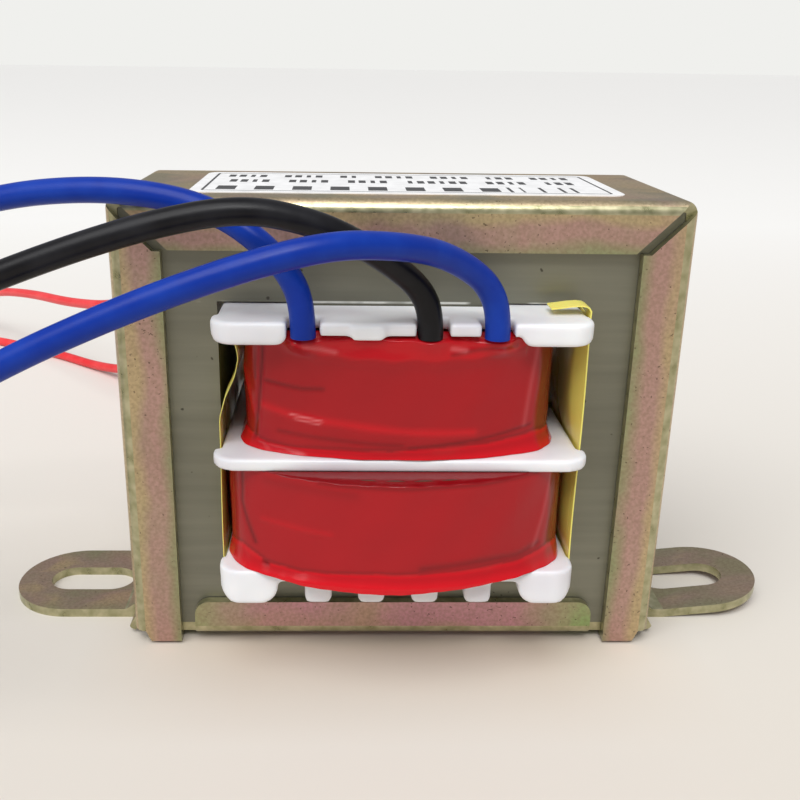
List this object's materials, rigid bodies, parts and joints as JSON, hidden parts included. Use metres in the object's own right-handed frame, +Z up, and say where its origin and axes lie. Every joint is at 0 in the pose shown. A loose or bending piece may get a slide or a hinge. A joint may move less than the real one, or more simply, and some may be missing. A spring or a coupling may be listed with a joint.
{
  "type": "laminated chassis transformer",
  "caption": "Small laminated mains transformer with a taped coil on a split bobbin, a folded clamp frame with slotted ears, and flying leads.",
  "frame": {"origin": "midway between the mounting ears, under the middle of the core, on the surface the ears stand on", "axes": "+X along the line of the two ears, +Y from the side with the thick leads to the side with the thin leads, +Z up, away from the mounting surface"},
  "size_m": [0.1558, 0.1527, 0.0446],
  "materials": {
    "passivated_steel": "yellow passivated zinc, faint pink and green bloom",
    "lamination_steel": "satin core plate, grey olive",
    "white_nylon": "moulded, slightly translucent",
    "enamelled_wire": "enamelled copper wire",
    "red_tape": "glossy polyester tape",
    "yellow_film": "translucent polyester film",
    "label_film": "white film with a plain border and bars",
    "blue_insulation": "smooth cable insulation",
    "black_insulation": "smooth cable insulation",
    "red_insulation": "smooth cable insulation",
    "tinned_wire": "tinned strands"
  },
  "bodies": {
    "root": {"e_laminations_01": "lamination_steel", "i_laminations_01": "lamination_steel", "e_laminations_02": "lamination_steel", "i_laminations_02": "lamination_steel", "e_laminations_03": "lamination_steel", "i_laminations_03": "lamination_steel", "e_laminations_04": "lamination_steel", "i_laminations_04": "lamination_steel", "e_laminations_05": "lamination_steel", "i_laminations_05": "lamination_steel", "e_laminations_06": "lamination_steel", "i_laminations_06": "lamination_steel", "e_laminations_07": "lamination_steel", "i_laminations_07": "lamination_steel", "e_laminations_08": "lamination_steel", "i_laminations_08": "lamination_steel", "e_laminations_09": "lamination_steel", "i_laminations_09": "lamination_steel", "e_laminations_10": "lamination_steel", "i_laminations_10": "lamination_steel", "clamp_frame": "passivated_steel", "base_plate": "passivated_steel", "bobbin": "white_nylon", "primary_winding": "enamelled_wire", "secondary_winding": "enamelled_wire", "primary_tape": "red_tape", "secondary_tape": "red_tape", "window_film_left": "yellow_film", "window_film_right": "yellow_film", "rating_label": "label_film", "secondary_lead_blue_left": "blue_insulation", "secondary_tip_blue_left": "tinned_wire", "secondary_lead_black": "black_insulation", "secondary_tip_black": "tinned_wire", "secondary_lead_blue_right": "blue_insulation", "secondary_tip_blue_right": "tinned_wire", "primary_lead_red_left": "red_insulation", "primary_tip_red_left": "tinned_wire", "primary_lead_red_right": "red_insulation", "primary_tip_red_right": "tinned_wire"}
  },
  "joints": []
}
